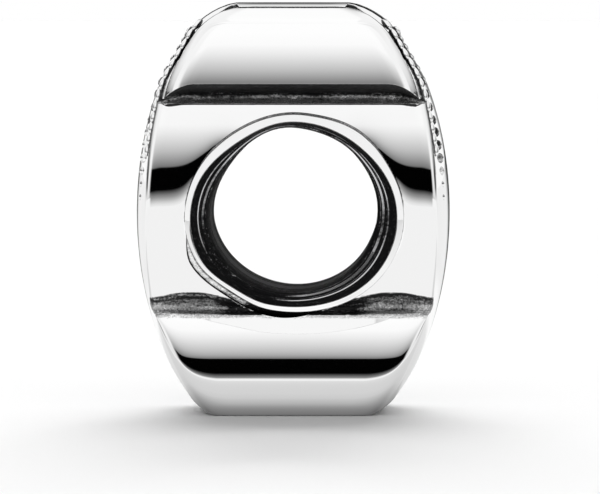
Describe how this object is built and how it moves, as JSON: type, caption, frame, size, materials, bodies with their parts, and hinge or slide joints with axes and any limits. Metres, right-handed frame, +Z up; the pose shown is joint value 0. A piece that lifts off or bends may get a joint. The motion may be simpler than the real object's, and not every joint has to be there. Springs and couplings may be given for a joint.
{
  "type": "silver bead charm",
  "caption": "Large-hole bead charm of cast silver: rounded lobes and dark grooves at each end of an oval-collared bore, with a milgrain arch on its broad faces.",
  "frame": {"origin": "middle of the flat foot that the charm stands on", "axes": "+Z up, from the foot to the top; +Y along the bore; +X out of one broad face"},
  "size_m": [0.0084, 0.0086, 0.011],
  "materials": {
    "silver": "mirror-polished silver, oxidised dark in the grooves and in the bore"
  },
  "bodies": {
    "root": {"charm_body": "silver"}
  },
  "joints": []
}
